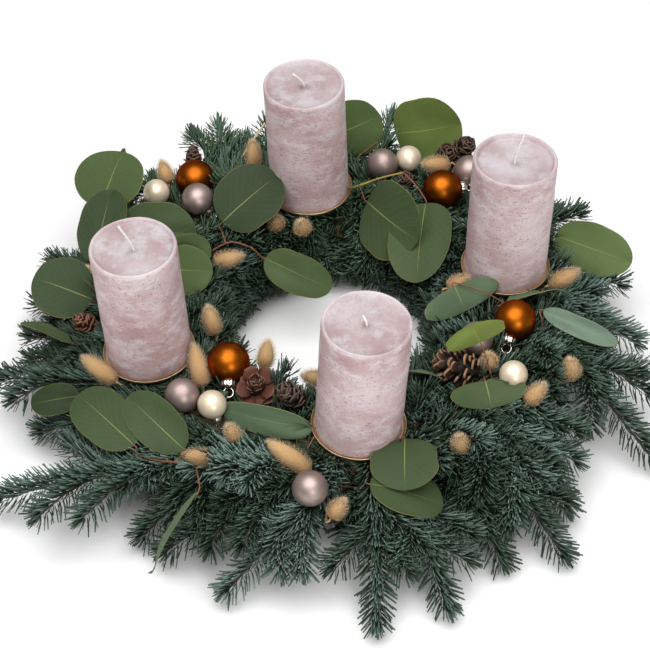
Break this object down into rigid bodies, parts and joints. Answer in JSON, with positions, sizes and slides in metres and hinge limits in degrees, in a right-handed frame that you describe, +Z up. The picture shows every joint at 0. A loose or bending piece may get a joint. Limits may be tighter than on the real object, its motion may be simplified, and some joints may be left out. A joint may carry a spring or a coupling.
{
  "type": "advent wreath",
  "caption": "Advent wreath: fir bound on a straw ring, with eucalyptus, pillar candles on spiked plates, glass baubles, cones and bunny tail grass.",
  "frame": {"origin": "on the surface that the wreath lies on, below the middle of the whole wreath's outline", "axes": "+Z up along the candles; the wreath is seen in the picture from -Y, with the long sprays at -X and -Y; the straw ring's own axis stands at X 5 mm, Y 15 mm"},
  "size_m": [0.4704, 0.4784, 0.1846],
  "materials": {
    "straw": "dry straw, wound round with wire",
    "green_wire": "dark green lacquer",
    "brass": "satin",
    "wax": "frosted candle wax, dusty pink",
    "cotton": "waxed cotton",
    "copper": "opaque satin metallic coat",
    "rose": "opaque satin metallic coat",
    "cream": "opaque pearl coat",
    "silver": "bright, crimped",
    "bark": "dry, matt",
    "eucalyptus": "living leaf, matt with a bloom",
    "bunny_tail": "soft dry bristles",
    "fir": "living twigs and needles"
  },
  "bodies": {
    "root": {"bauble_cap_copper_back_left": "silver", "bauble_cap_copper_back_right": "silver", "bauble_cap_copper_front_left": "silver", "bauble_cap_copper_right": "silver", "bauble_copper_back_left": "copper", "bauble_copper_back_right": "copper", "bauble_copper_front_left": "copper", "bauble_copper_right": "copper", "bauble_cream_back_left": "cream", "bauble_cream_back_right": "cream", "bauble_cream_front_left": "cream", "bauble_cream_right": "cream", "bauble_rose_back_left": "rose", "bauble_rose_back_right": "rose", "bauble_rose_front": "rose", "bauble_rose_front_left": "rose", "bauble_rose_right": "rose", "bauble_rose_right_back": "rose", "binding_wire": "green_wire", "bunny_tails_front": "bunny_tail", "bunny_tails_inner_front": "bunny_tail", "bunny_tails_inner_left": "bunny_tail", "bunny_tails_inner_right": "bunny_tail", "bunny_tails_outer_left": "bunny_tail", "bunny_tails_right": "bunny_tail", "candle_back": "wax", "candle_front": "wax", "candle_left": "wax", "candle_plate_back": "brass", "candle_plate_front": "brass", "candle_plate_left": "brass", "candle_plate_right": "brass", "candle_right": "wax", "cone_back_left": "bark", "cone_front": "bark", "cone_left": "bark", "cone_open_front": "bark", "cone_pair_back": "bark", "cone_pair_back_right": "bark", "cone_right": "bark", "eucalyptus_back": "eucalyptus", "eucalyptus_front": "eucalyptus", "eucalyptus_front_left": "eucalyptus", "eucalyptus_front_right": "eucalyptus", "eucalyptus_inner_left": "eucalyptus", "eucalyptus_left": "eucalyptus", "eucalyptus_right": "eucalyptus", "fir_bunch_back": "fir", "fir_bunch_back_left": "fir", "fir_bunch_back_right": "fir", "fir_bunch_front": "fir", "fir_bunch_front_left": "fir", "fir_bunch_front_right": "fir", "fir_bunch_left": "fir", "fir_bunch_right": "fir", "straw_ring": "straw", "wick_back": "cotton", "wick_front": "cotton", "wick_left": "cotton", "wick_right": "cotton"}
  },
  "joints": []
}
